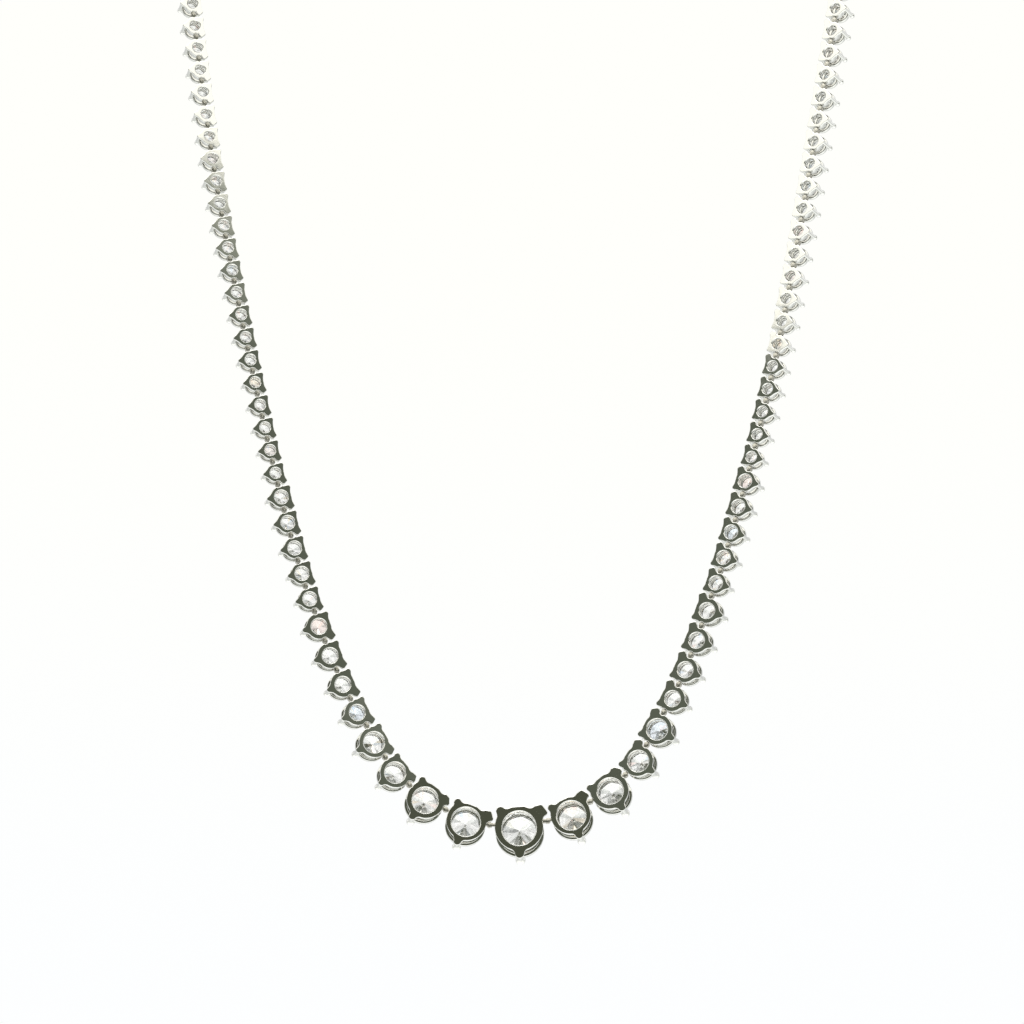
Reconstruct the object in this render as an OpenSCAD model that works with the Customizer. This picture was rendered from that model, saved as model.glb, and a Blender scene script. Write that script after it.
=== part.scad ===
// Graduated necklace: a closed chain of three-prong settings with round brilliants, hanging in
// the curve that its own weight gives it. Millimetres. +Z is up and the crowns face -Y. The loop
// hangs in the plane Y = 0, and the origin is where the neck carries the clasp.

/* [Chain] */
// Small equal settings on each side, from the graduated ones round to the clasp
small_links = 46; // [40:1:50]
// Length of the clasp between its two hinge pins
clasp_length = 9.7; // [8.5:0.1:12]
// How far the centre setting hangs from the lowest point of the curve, towards -X
centre_shift = 1.2; // [0:0.1:2.5]

/* [Setting] */
// Thickness of the flat back plate and its lobes
plate_thickness = 0.35; // [0.3:0.01:0.45]
// Height of a setting of no width, to which its own width adds
height_base = 1.45; // [1.35:0.01:1.7]
// Added height for each millimetre of plate radius
height_rate = 1.43; // [1.35:0.01:1.5]
// Share of the height taken by the base ring behind the plate
base_share = 0.34; // [0.32:0.01:0.38]
// Share of the height taken by the seat ring under the stone
seat_share = 0.17; // [0.12:0.01:0.2]
// Clear distance between a stone and the metal that holds it
stone_gap = 0.05; // [0.04:0.01:0.08]

/* [Hinge] */
// Radius of the hinge pin
pin_radius = 0.1; // [0.08:0.01:0.12]
// Clear distance between the pin and the eye, and between the eye and the fork
hinge_gap = 0.11; // [0.1:0.01:0.12]
// Outer radius of the eye and of the two fork ears
knuckle_radius = 0.34; // [0.32:0.01:0.36]
// Thickness of the eye
eye_thickness = 0.24; // [0.2:0.01:0.26]
// Thickness of each fork ear
ear_thickness = 0.18; // [0.15:0.01:0.2]
// Depth of the middle of the hinge behind the back plate's face
pin_level = 0.6; // [0.55:0.01:0.62]

/* [Clasp] */
// Height of the clasp's body, from its inner to its outer side
clasp_height = 4.4; // [3.6:0.1:5]
// Thickness of the clasp's body, from back to front
clasp_depth = 2.4; // [2:0.1:3]

/* [Hidden] */
// Each row is a size of setting: how many on each side, length, hole radius, plate radius, how far
// the ear's end is from the middle, and how far inwards its outer hinge lies
COUNT = 0;
LENGTH = 1;
HOLE = 2;
PLATE = 3;
EAR_END = 4;
RISE = 5;
CENTRE = [1, 7.43, 2.28, 2.92, 4.18, 0.75];
SIZES = [
    [1, 5.96, 1.95, 2.42, 3.52, 0.62],
    [1, 5.6, 1.76, 2.32, 3.12, 0.5],
    [2, 4.7, 1.44, 1.92, 2.78, 0.35],
    [4, 4.06, 1.1, 1.62, 2.47, 0.15],
    [5, 3.46, 0.98, 1.37, 2.1, 0],
    [small_links, 3.08, 0.79, 1.15, 1.84, 0]
];
// Settings that are nodes of their own on each side, and their stones
main_links = 8;

// Slope of the hanging chain at a distance along it from its lowest point towards +X
HANG = [
    [-140, -6.06], [-90, -5.47], [-60, -3.72], [-40, -2.98], [-28, -2.09], [-20, -1.66],
    [-13, -0.7], [-7, -0.44], [0, 0], [7, 0.47], [13, 0.79],
    [20, 1.62], [28, 1.9], [40, 2.94], [60, 4.09], [90, 4.87], [140, 9.23]
];
// How far the crowns lean outwards, in degrees, at a distance along the chain towards +X.
// The chain hangs from a slack twist, so its two sides lean by different amounts.
function lean(s) = lookup(s, [
    [-half_length, 0], [-125, 31], [-76, 26], [-60, 21], [-40, 17], [-19, 13], [-13, 13],
    [0, 10], [6, 10.5], [12, 12], [17, 14.5], [26, 15], [32, 12], [40, 11],
    [60, 13], [125, 17], [half_length, 0]
]);

// The settings from the centre outwards, as rows of SIZES
side = [for (row = SIZES) for (k = [1:row[COUNT]]) row];
side_count = len(side);
half_length = CENTRE[LENGTH] / 2 + total_length(side_count) + clasp_length / 2;
function total_length(n) = n == 0 ? 0 : side[n - 1][LENGTH] + total_length(n - 1);

// Place along the chain of setting k, which is negative on the side towards -X
distances = [for (k = 0, s = CENTRE[LENGTH] / 2 + side[0][LENGTH] / 2;
                  k < side_count;
                  s = s + (side[k][LENGTH] + (k + 1 < side_count ? side[k + 1][LENGTH] : 0)) / 2,
                  k = k + 1) s];
function distance(k) = -centre_shift + (k == 0 ? 0 : sign(k) * distances[abs(k) - 1]);
function size(k) = k == 0 ? CENTRE : side[abs(k) - 1];

// Direction of the chain: it hangs free up to the arch, then turns evenly round the neck
function hang_angle(s) = atan(lookup(s, HANG));
function arch_angle(s, arch) = abs(hang_angle(sign(s) * arch));
function direction(s, arch) = abs(s) <= arch
    ? hang_angle(s)
    : sign(s) * (arch_angle(s, arch)
        + (180 - arch_angle(s, arch)) * (abs(s) - arch) / (half_length - arch));
function heading(k, arch) = direction(distance(k), arch);
function along(angle) = [cos(angle), sin(angle)];
function inwards(angle) = [-sin(angle), cos(angle)];

// How far inwards the hinges of setting k lie: the one away from the centre, the one towards it,
// and the ones with the fork and with the eye
function outer_rise(k) = size(k)[RISE];
function inner_rise(k) = size(abs(k) - 1)[RISE];
function fork_rise(k) = k > 0 ? inner_rise(k) : outer_rise(k);
function eye_rise(k) = k < 0 ? inner_rise(k) : outer_rise(k);

// Hinge points of one side in X and Z, from the centre setting outwards
function step(k, way, arch) = along(heading(way * k, arch)) * way * side[k - 1][LENGTH]
    + inwards(heading(way * k, arch)) * (outer_rise(k) - inner_rise(k));
function hinges(way, arch) = [
    for (k = 0,
         p = along(heading(0, arch)) * way * CENTRE[LENGTH] / 2 + inwards(heading(0, arch)) * CENTRE[RISE];
         k <= side_count;
         k = k + 1, p = k > side_count ? p : p + step(k, way, arch)) p
];
function end_gap(arch) = hinges(1, arch)[side_count][0] - hinges(-1, arch)[side_count][0];
// The arch starts where the two ends come round to the clasp's length from each other
function arch_start(low, high, steps) = steps == 0 ? (low + high) / 2
    : end_gap((low + high) / 2) > clasp_length
        ? arch_start(low, (low + high) / 2, steps - 1)
        : arch_start((low + high) / 2, high, steps - 1);
arch = arch_start(110, 140, 20);
right_hinges = hinges(1, arch);
left_hinges = hinges(-1, arch);
right_end = right_hinges[side_count];
left_end = left_hinges[side_count];
// Shift that brings the clasp's inner side to the origin
shift = [0, clasp_height / 2] - (right_end + left_end) / 2;

function middle(k) = shift + (k == 0 ? [0, 0]
    : (k > 0 ? (right_hinges[k - 1] + right_hinges[k]) / 2
             : (left_hinges[-k - 1] + left_hinges[-k]) / 2)
      - inwards(heading(k, arch)) * (inner_rise(k) + outer_rise(k)) / 2);

// Sizes that follow from a setting's plate radius. A prong bites into the rings by a share of its
// own radius.
prong_bite = 0.22;
function prong_radius(r) = 0.125 + 0.1 * r;
function lobe_radius(r) = 0.08 + 0.172 * r;
function bead_radius(r) = 0.165 + 0.165 * r;
function prong_reach(r) = r + (1 - prong_bite) * prong_radius(r);
function height(r) = height_base + height_rate * r;
function bead_level(r) = height(r) - bead_radius(r);
function stone_radius(r) = r - prong_bite * prong_radius(r) - stone_gap;
function girdle_top(r) = bead_level(r)
    - sqrt(pow(bead_radius(r) + stone_gap, 2) - pow(prong_reach(r) - stone_radius(r), 2));

// Proportions of a round brilliant, as shares of its diameter
girdle_share = 0.025;
pavilion_share = 0.43;
crown_share = 0.15;
table_share = 0.56;
star_share = 0.78;
star_rise = 0.55;
lower_share = 0.22;
lower_bulge = 1.02;

// Directions of the prongs from the inward side, and of the two corners of the ear over the hinge
TRAILING = 1;
LEADING = 2;
PRONGS = [183, -43, 48];
NEAR = 0;
FAR = 1;
EAR = [50, 62];
// Hollow fillet between a lobe and the ring as a share of the plate radius, at plate radii. Small
// plates are nearly triangular.
FILLETS = [[1.15, 2], [1.37, 1.2], [1.62, 0.7], [1.92, 0.4], [2.42, 0.25], [2.92, 0.25]];
// Direction from a lobe's middle to the foot of its fillet, at plate radii
FEET = [[1.15, 37], [1.37, 33], [1.62, 28], [1.92, 23], [2.42, 18], [2.92, 18]];
// Where a lobe and the ear start inside the ring
lobe_root = 0.1;
ear_root = 0.8;
ear_within = 0.93;
// The base ring's own radius, its shift to the inward side, its radius where it is cut back between
// the two inward lobes, and the seat ring's radius, all as shares of the plate radius
ring_share = 1.06;
ring_shift = 0.07;
inner_share = 0.985;
gallery_share = 1.07;
// The flat in the middle of the inward side: its distance from the middle, and half its cutter's width
flat_share = 0.95;
flat_width = 0.32;
// Slope round the hole in the back plate, inside the hole's radius at the face
bevel = 0.12;
// Length by which the fork and the eye run into the ring
overlap = 0.15;
fork_width = 1.4 * knuckle_radius;
eye_width = 1.3 * knuckle_radius;
// A near tangent is widened by this, so that the surfaces cross
crossing = 0.02;
// A cut runs past the faces that it opens by this
past = 1;
// The ring is cut back round the next piece's knuckle where the links are short
pocket_radius = knuckle_radius + 0.12;
sliver = 0.02;
// Seat ring: its hole, its distance below the girdle, and its distance from the pavilion
seat_hole = 0.74;
seat_drop = 0.06;
seat_clear = 0.08;
fork_bottom = pin_level - eye_thickness / 2 - hinge_gap - ear_thickness;
fork_top = pin_level + eye_thickness / 2 + hinge_gap + ear_thickness;

main_nodes = [for (k = [1:main_links]) k];
$fn = 48;

// Puts a setting or stone, drawn with its back plate at Z = 0, in its place in the chain
module in_chain(k) {
    p = middle(k);
    translate([p[0], 0, p[1]])
        rotate([0, -heading(k, arch), 0])
            rotate([90 + lean(distance(k)), 0, 0])
                translate([0, 0, -pin_level])
                    children();
}

// A point at a direction from the inward side (+Y), positive towards -X
function polar(direction, radius) = [-radius * sin(direction), radius * cos(direction)];

// Radius of the base ring at a direction outside the part that is cut back
function ring_radius(r, direction) = r * (ring_shift * cos(direction)
    + sqrt(pow(ring_share, 2) - pow(ring_shift * sin(direction), 2)));

// The base ring's body: it swells to both sides, and is cut back between the two inward lobes, with
// a flat in the middle
module ring(r, high) {
    difference() {
        translate([0, ring_shift * r, 0]) cylinder(r = ring_share * r, h = high);
        difference() {
            translate([0, 0, -past])
                linear_extrude(height = high + 2 * past)
                    polygon([[0, 0], polar(PRONGS[TRAILING], 2 * r), polar(PRONGS[LEADING], 2 * r)]);
            translate([0, 0, -2 * past]) cylinder(r = inner_share * r, h = high + 4 * past);
        }
        translate([-flat_width * r, flat_share * r, -past])
            cube([2 * flat_width * r, r, high + 2 * past]);
    }
}

// Middle of the fillet between a lobe along +Y and a ring
function fillet_place(ring, reach, tip, fillet) =
    let (
        from_ring = ring + fillet - crossing,
        from_tip = tip + fillet - crossing,
        y = (pow(from_ring, 2) - pow(from_tip, 2) + pow(reach, 2)) / (2 * reach)
    )
    [sqrt(pow(from_ring, 2) - pow(y, 2)), y];

// A lobe of the back plate, with a round end and hollow sides that run into the ring. The ring's
// radius is given on the side that comes before the lobe and on the one that comes after it.
module lobe(r, direction, reach, tip, before, after) {
    fillet = lookup(r, FILLETS) * r;
    first = fillet_place(before, reach, tip, fillet);
    second = fillet_place(after, reach, tip, fillet);
    rotate([0, 0, direction]) {
        translate([0, reach, 0]) cylinder(r = tip, h = plate_thickness);
        difference() {
            linear_extrude(height = plate_thickness)
                polygon([[0, lobe_root * r], first, [0, reach], [-second[0], second[1]]]);
            for (place = [first, [-second[0], second[1]]])
                translate([place[0], place[1], -past]) cylinder(r = fillet, h = plate_thickness + 2 * past);
        }
    }
}

// The ring's radius beside the fillets of prong k's lobe: cut back between the two inward lobes
function inner_radius(r, direction) = min(inner_share * r, flat_share * r / cos(direction));
function ring_before(r, k) = let (foot = PRONGS[k] - lookup(r, FEET))
    k == LEADING ? inner_radius(r, foot) : ring_radius(r, foot);
function ring_after(r, k) = let (foot = PRONGS[k] + lookup(r, FEET))
    k == TRAILING ? inner_radius(r, foot) : ring_radius(r, foot);

// The two ends of a straight side of the ear, just inside the round ends that it joins
function ear_side(a, b, radius_a, radius_b) =
    let (way = (b - a) / norm(b - a), outward = ear_within * [way[1], -way[0]])
        [a + radius_a * outward, b + radius_b * outward];

// The ear: the lobe at the fork's end goes on over the hinge as a broad block with round corners
module ear(r, end) {
    corner = prong_radius(r);
    reach = end - corner;
    prong = polar(PRONGS[LEADING], prong_reach(r));
    near = polar(EAR[NEAR], reach);
    far = polar(EAR[FAR], reach);
    translate([near[0], near[1], 0]) cylinder(r = corner, h = plate_thickness);
    lobe(r, EAR[FAR], reach, corner, r, ring_radius(r, EAR[FAR] + lookup(r, FEET)));
    linear_extrude(height = plate_thickness)
        polygon(concat(
            ear_side(prong, near, lobe_radius(r), corner),
            ear_side(near, far, corner, corner),
            [polar(EAR[FAR], ear_root * r), polar(PRONGS[LEADING], ear_root * r)]
        ));
}

// The two ears and the pin at the end towards -X, at a distance inwards
module fork(half, inner, width, rise) {
    for (level = [fork_bottom, fork_top - ear_thickness])
        translate([0, rise, level]) {
            translate([-half, 0, 0]) cylinder(r = knuckle_radius, h = ear_thickness);
            translate([-half, -width / 2, 0]) cube([half - inner, width, ear_thickness]);
        }
    translate([-half, rise, fork_bottom]) cylinder(r = pin_radius, h = fork_top - fork_bottom);
}

// The eye at the end towards +X, which turns on the next piece's pin
module eye(half, inner, width, rise) {
    difference() {
        translate([0, rise, pin_level - eye_thickness / 2]) {
            translate([half, 0, 0]) cylinder(r = knuckle_radius, h = eye_thickness);
            translate([inner, -width / 2, 0]) cube([half - inner, width, eye_thickness]);
        }
        translate([half, rise, 0]) cylinder(r = pin_radius + hinge_gap, h = 2 * pin_level);
    }
}

// Where a hinge's tongue starts inside the ring
function tongue_start(r, rise) = sqrt(pow(r, 2) - pow(rise + knuckle_radius, 2)) - overlap;

// Pavilion radius of the seated stone at a level
function pavilion_radius(r, level) =
    stone_radius(r) * (1 - (girdle_bottom(r) - level) / (2 * pavilion_share * stone_radius(r)));
function girdle_bottom(r) = girdle_top(r) - 2 * girdle_share * stone_radius(r);

// The ring under the stone's girdle, with a seat cut to the slope of the pavilion
module seat_ring(r) {
    inner = seat_hole * r;
    top = girdle_bottom(r) - seat_drop;
    bottom = top - seat_share * height(r);
    foot = girdle_bottom(r) - (stone_radius(r) + seat_clear - inner) * 2 * pavilion_share;
    outer = gallery_share * r;
    rotate_extrude()
        polygon([
            [inner, bottom], [outer, bottom], [outer, top],
            [pavilion_radius(r, top) + seat_clear, top], [inner, foot]
        ]);
}

// One setting: back plate, base ring, seat ring, prongs with beads, fork and eye
module setting(k) {
    row = size(k);
    r = row[PLATE];
    hole = row[HOLE];
    half = row[LENGTH] / 2;
    base = base_share * height(r);
    difference() {
        union() {
            ring(r, base);
            for (k = [0:2])
                lobe(r, PRONGS[k], prong_reach(r), lobe_radius(r), ring_before(r, k), ring_after(r, k));
            for (direction = PRONGS)
                rotate([0, 0, direction])
                    translate([0, prong_reach(r), 0]) cylinder(r = prong_radius(r), h = bead_level(r));
            ear(r, row[EAR_END]);
        }
        translate([0, 0, -past]) cylinder(r = hole - bevel, h = base + 2 * past);
        translate([0, 0, -bevel]) cylinder(r1 = hole + bevel, r2 = hole - bevel, h = 2 * bevel);
        for (end = [[-half, fork_rise(k)], [half, eye_rise(k)]])
            if (norm(end - [0, ring_shift * r]) - ring_share * r < pocket_radius - sliver)
                translate([end[0], end[1], -past])
                    cylinder(r = pocket_radius, h = past + fork_top + hinge_gap);
    }
    seat_ring(r);
    for (direction = PRONGS) {
        place = polar(direction, prong_reach(r));
        translate([place[0], place[1], bead_level(r)]) sphere(r = bead_radius(r));
    }
    fork(half, tongue_start(r, fork_rise(k)), fork_width, fork_rise(k));
    eye(half, tongue_start(r, eye_rise(k)), eye_width, eye_rise(k));
}

// Points of a ring of a stone, turned by a part of a step
function stone_ring(count, radius, level, turn) =
    [for (k = [0:count - 1]) [
        radius * cos((k + turn) * 360 / count),
        radius * sin((k + turn) * 360 / count),
        level
    ]];

// A full round brilliant: table, stars, bezels, upper girdle facets, girdle, lower facets, culet
module brilliant(r) {
    d = 2 * r;
    bottom = pavilion_share * d;
    top = bottom + girdle_share * d;
    table = top + crown_share * d;
    star_level = top + star_rise * crown_share * d;
    lower_level = lower_share * bottom;
    points = concat(
        stone_ring(8, table_share * r, table, 0),
        stone_ring(8, star_share * r, star_level, 0.5),
        stone_ring(16, r, top, 0),
        stone_ring(16, r, bottom, 0),
        stone_ring(8, lower_share * lower_bulge * r, lower_level, 0.5),
        [[0, 0, 0]]
    );
    star = 8;
    upper = 16;
    lower = 32;
    deep = 48;
    culet = 56;
    faces = concat(
        [[for (k = [7:-1:0]) k]],
        [for (k = [0:7]) [k, (k + 1) % 8, star + k]],
        [for (k = [0:7]) [k, star + k, upper + 2 * k]],
        [for (k = [0:7]) [k, upper + 2 * k, star + (k + 7) % 8]],
        [for (k = [0:7]) [star + k, upper + 2 * k + 1, upper + 2 * k]],
        [for (k = [0:7]) [star + k, upper + (2 * k + 2) % 16, upper + 2 * k + 1]],
        [for (k = [0:15]) [upper + k, upper + (k + 1) % 16, lower + k]],
        [for (k = [0:15]) [upper + (k + 1) % 16, lower + (k + 1) % 16, lower + k]],
        [for (k = [0:7]) [lower + 2 * k, lower + 2 * k + 1, deep + k]],
        [for (k = [0:7]) [lower + 2 * k + 1, lower + (2 * k + 2) % 16, deep + k]],
        [for (k = [0:7]) [lower + (2 * k + 2) % 16, deep + (k + 1) % 8, deep + k]],
        [for (k = [0:7]) [culet, deep + k, deep + (k + 1) % 8]]
    );
    polyhedron(points = points, faces = faces);
}

// A small stone in the single cut: table, eight crown facets, girdle and eight pavilion facets
module single_cut(r) {
    d = 2 * r;
    bottom = pavilion_share * d;
    top = bottom + girdle_share * d;
    points = concat(
        stone_ring(8, table_share * r, top + crown_share * d, 0),
        stone_ring(8, r, top, 0),
        stone_ring(8, r, bottom, 0),
        [[0, 0, 0]]
    );
    faces = concat(
        [[for (k = [7:-1:0]) k]],
        [for (ring = [0, 8]) for (k = [0:7]) [ring + k, ring + (k + 1) % 8, ring + 8 + k]],
        [for (ring = [0, 8]) for (k = [0:7]) [ring + (k + 1) % 8, ring + 8 + (k + 1) % 8, ring + 8 + k]],
        [for (k = [0:7]) [24, 16 + k, 16 + (k + 1) % 8]]
    );
    polyhedron(points = points, faces = faces);
}

// Lifts a stone, drawn with its culet at Z = 0, to its seat
module seated(r) {
    translate([0, 0, girdle_bottom(r) - 2 * pavilion_share * stone_radius(r)]) children();
}

module metal() {
    color([0.86, 0.86, 0.84]) children();
}

module gem() {
    color([0.93, 0.95, 0.98, 0.6]) children();
}

module main_setting(k) {
    metal() in_chain(k) setting(k);
}

module main_stone(k) {
    gem() in_chain(k) seated(size(k)[PLATE]) brilliant(stone_radius(size(k)[PLATE]));
}

// The small settings of one side
module strand(way) {
    metal()
        for (k = [main_links + 1:side_count])
            in_chain(way * k) setting(way * k);
}

// The small stones of one side
module strand_stones(way) {
    gem()
        for (k = [main_links + 1:side_count])
            in_chain(way * k) seated(size(k)[PLATE]) single_cut(stone_radius(size(k)[PLATE]));
}

// The closed box clasp at the back of the neck, with the same fork and eye as a setting
module clasp() {
    span = right_end - left_end;
    half = norm(span) / 2;
    body = half - pocket_radius;
    corner = 0.7;
    outline = [
        [-body, corner - clasp_height / 2], [corner - body, -clasp_height / 2],
        [body - corner, -clasp_height / 2], [body, corner - clasp_height / 2],
        [body, clasp_height / 2 - corner], [body - corner, clasp_height / 2],
        [corner - body, clasp_height / 2], [-body, clasp_height / 2 - corner]
    ];
    metal()
        translate([0, 0, clasp_height / 2])
            rotate([0, 180 - atan2(span[1], span[0]), 0])
                rotate([90, 0, 0])
                    translate([0, 0, -pin_level]) {
                        linear_extrude(height = clasp_depth) polygon(outline);
                        fork(half, body - overlap, fork_width, 0);
                        eye(half, body - overlap, eye_width, 0);
                    }
}

main_setting(0);  // setting_centre
main_stone(0);  // stone_centre
for (k = main_nodes) {
    main_setting(k);
    main_stone(k);
    main_setting(-k);
    main_stone(-k);
}
strand(1);  // strand_a
strand(-1);  // strand_b
strand_stones(1);  // strand_stones_a
strand_stones(-1);  // strand_stones_b
clasp();
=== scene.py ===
import bpy
import math
import random
from collections import namedtuple
from mathutils import Matrix, Vector


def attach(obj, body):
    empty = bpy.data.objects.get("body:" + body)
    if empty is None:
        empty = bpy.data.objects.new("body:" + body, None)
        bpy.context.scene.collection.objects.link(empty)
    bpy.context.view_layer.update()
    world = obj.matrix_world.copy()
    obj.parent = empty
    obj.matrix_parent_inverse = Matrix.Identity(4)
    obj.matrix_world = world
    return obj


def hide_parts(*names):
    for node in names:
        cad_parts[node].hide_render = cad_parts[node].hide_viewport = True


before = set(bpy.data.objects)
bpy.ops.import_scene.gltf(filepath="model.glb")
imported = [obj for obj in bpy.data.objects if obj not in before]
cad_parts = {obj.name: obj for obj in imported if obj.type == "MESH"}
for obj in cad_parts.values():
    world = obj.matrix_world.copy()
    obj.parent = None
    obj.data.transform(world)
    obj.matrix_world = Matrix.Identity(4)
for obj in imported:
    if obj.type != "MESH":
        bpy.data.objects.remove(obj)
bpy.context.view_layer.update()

MM = 0.001
random.seed(7)

# The chain, as in part.scad, in millimetres and degrees.
# Each row is a size of setting: how many on each side, length between the hinges, hole radius,
# plate radius, how far the ear's end is from the middle, and how far inwards its outer hinge lies
Size = namedtuple("Size", "links length hole radius ear_end rise")
CENTRE = Size(1, 7.43, 2.28, 2.92, 4.18, 0.75)
SIZES = [
    Size(1, 5.96, 1.95, 2.42, 3.52, 0.62),
    Size(1, 5.6, 1.76, 2.32, 3.12, 0.5),
    Size(2, 4.7, 1.44, 1.92, 2.78, 0.35),
    Size(4, 4.06, 1.1, 1.62, 2.47, 0.15),
    Size(5, 3.46, 0.98, 1.37, 2.1, 0),
    Size(46, 3.08, 0.79, 1.15, 1.84, 0),
]
# The settings from the centre outwards, and how many of them are nodes of their own on each side
SIDE = [row for row in SIZES for _ in range(row.links)]
COUNT = len(SIDE)
MAIN_LINKS = 8
CLASP_LENGTH, CLASP_HEIGHT, CLASP_DEPTH = 9.7, 4.4, 2.4
# How far the centre setting hangs from the lowest point of the curve, towards -X
CENTRE_SHIFT = 1.2
# Length of each half of the loop
HALF = CENTRE.length / 2 + sum(row.length for row in SIDE) + CLASP_LENGTH / 2
# Slope of the hanging chain at a distance along it from its lowest point towards +X
HANG = [
    (-140, -6.06), (-90, -5.47), (-60, -3.72), (-40, -2.98), (-28, -2.09), (-20, -1.66),
    (-13, -0.7), (-7, -0.44), (0, 0), (7, 0.47), (13, 0.79),
    (20, 1.62), (28, 1.9), (40, 2.94), (60, 4.09), (90, 4.87), (140, 9.23),
]
# How far the crowns lean outwards at a distance along the chain towards +X
LEAN = [
    (-HALF, 0), (-125, 31), (-76, 26), (-60, 21), (-40, 17), (-19, 13), (-13, 13),
    (0, 10), (6, 10.5), (12, 12), (17, 14.5), (26, 15), (32, 12), (40, 11),
    (60, 13), (125, 17), (HALF, 0),
]

# Setting: thickness of the plate, height of a setting of no width and added height for each
# millimetre of plate radius, shares of the height for the base ring and the seat ring, clear
# distance round the stone
PLATE = 0.35
HEIGHT_BASE, HEIGHT_RATE, BASE_SHARE, SEAT_SHARE = 1.45, 1.43, 0.34, 0.17
STONE_GAP = 0.05
# Hinge: radius of the pin, gap all round, radius of the round ends, thickness of the eye and of
# each fork ear, depth of its middle behind the plate's face
PIN, HINGE_GAP, KNUCKLE, EYE, EAR, PIN_LEVEL = 0.1, 0.11, 0.34, 0.24, 0.18, 0.6
# Widths of the necks that carry the fork's ears and the eye
FORK_WIDTH, EYE_WIDTH = 1.4 * KNUCKLE, 1.3 * KNUCKLE
# The pin's ends, as share of its radius and how far it stands out of the fork's ear
RIVET = [(0.6, 0.012), (1, -0.01)]
# How far rings and the clasp's body keep from a hinge's middle, and how near a ring must come to
# one to be cut
NOTCH, NOTCH_NEAR = KNUCKLE + 0.12, KNUCKLE + 0.1
# Directions from the inner side towards -X: the outward prong, the trailing one and the leading
# one, and the two corners of the ear
PRONGS = (183, -43, 48)
EAR_CORNERS = (50, 62)
# By plate radius: the fillets beside the lobes as shares of it, and the directions of their feet
FILLETS = [(1.15, 2), (1.37, 1.2), (1.62, 0.7), (1.92, 0.4), (2.42, 0.25), (2.92, 0.25)]
FEET = [(1.15, 37), (1.37, 33), (1.62, 28), (1.92, 23), (2.42, 18), (2.92, 18)]
# Share of a prong's radius by which the prong reaches inside the plate radius
PRONG_BITE = 0.22
# Shares of the plate radius: the base ring and how far its middle lies inwards, its radius and
# its flat between the inward lobes, the seat ring and its hole
RING, RING_SHIFT, INNER_RING, FLAT, GALLERY, SEAT_HOLE = 1.06, 0.07, 0.985, 0.95, 1.07, 0.74
# Width of the slope round the hole, drop of the seat ring's top below the girdle, the seat's
# distance to the stone, and the length of the seat ring's hole below the seat
BEVEL, SEAT_DROP, SEAT_CLEAR, SEAT_WALL = 0.12, 0.06, 0.08, 0.3
# Shares of a stone's diameter, and of its radius for the corners of its stars and lower facets
GIRDLE, PAVILION, CROWN, TABLE = 0.025, 0.43, 0.15, 0.56
STARS, LOWERS = 0.79, 0.24

# Rounded edges, as inset and depth. The first two are shares of the edge's width.
SOFT_EDGE = [(1, 0), (0.3, 0.3), (0, 1)]
CREST_EDGE = [(1, 0), (0.25, 0.25), (0, 1)]
PLATE_RIM = [(0.15, 0), (0.075, 0), (0.06, 0), (0.03, 0.0078), (0.0078, 0.03), (0, 0.06)]
CLASP_RIM = [(0.16, 0), (0.07, 0.02), (0.02, 0.07), (0, 0.16)]
# The slope round the hole, as distance past the hole's edge and depth
HOLE_RIM = [(-BEVEL, BEVEL + 0.03), (0.012 - BEVEL, BEVEL), (-0.03, 0.02), (0, 0), (0.13, 0)]
# The seam between the clasp's two halves, as inset and depth
CLASP_SEAM = [(0, 1.12), (0.05, 1.17), (0.05, 1.23), (0, 1.28)]
# Widths of the plate's front edge, of the base ring's edges, the seat ring's and the hinges'
FRONT_EDGE, CREST, SEAT_EDGE, HINGE_EDGE = 0.03, 0.06, 0.035, 0.035
CLASP_CORNER, CLASP_ROUND = 0.7, 0.18
# How far a plate's back stands out of true, so that each one reflects its own part of the room
TILT = 0.004
# How far a hinge's neck and a prong reach into the form that carries them
ROOT, PRONG_ROOT = 0.15, 0.1
# Where a bead's last ring lies, as a share of the way round from its foot to its top
BEAD_END = 0.97

# Steps for the strands' settings and for the larger ones: how fine the plate's edge is, the sides
# of a seat ring and of a prong, the rings of a bead, the steps of a knuckle
Detail = namedtuple("Detail", "edge seat prong bead knuckle")
COARSE, FINE = Detail(1, 24, 12, 5, 7), Detail(2, 64, 24, 8, 14)
# Degrees between a ring's points at fineness 1, and the least between faces that meet sharply
RING_STEP, SHARP_ANGLE = 9, 33

# Finishes of faces: places in METAL for the first two, and in STONE for the last. The second is the
# hinges' satin metal, whose darker, warmer tone is painted shade
BRIGHT, DULL_PAINTED_SHADE, CLEAR = 0, 1, 0


def lookup(x, table):
    """The table's value at x, straight between its rows and level beyond them."""
    if x <= table[0][0]:
        return table[0][1]
    for (x0, y0), (x1, y1) in zip(table, table[1:]):
        if x <= x1:
            return y0 + (y1 - y0) * (x - x0) / (x1 - x0)
    return table[-1][1]


def size(k):
    """The row for setting k, which is negative on the side towards -X."""
    return CENTRE if k == 0 else SIDE[abs(k) - 1]


def distance(k):
    """Place of setting k along the chain."""
    if k == 0:
        return -CENTRE_SHIFT
    reach = CENTRE.length / 2 + sum(row.length for row in SIDE[:abs(k) - 1]) + size(k).length / 2
    return -CENTRE_SHIFT + math.copysign(reach, k)


def hang_angle(s):
    """Direction of the free hanging chain at a distance along it."""
    return math.degrees(math.atan(lookup(s, HANG)))


def heading(k, arch):
    """Direction of setting k: it hangs free up to the arch, then turns evenly round the neck."""
    s = distance(k)
    if abs(s) <= arch:
        return hang_angle(s)
    start = abs(hang_angle(math.copysign(arch, s)))
    return math.copysign(start + (180 - start) * (abs(s) - arch) / (HALF - arch), s)


def along(angle):
    return Vector((math.cos(math.radians(angle)), math.sin(math.radians(angle))))


def inwards(angle):
    return Vector((-math.sin(math.radians(angle)), math.cos(math.radians(angle))))


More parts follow.
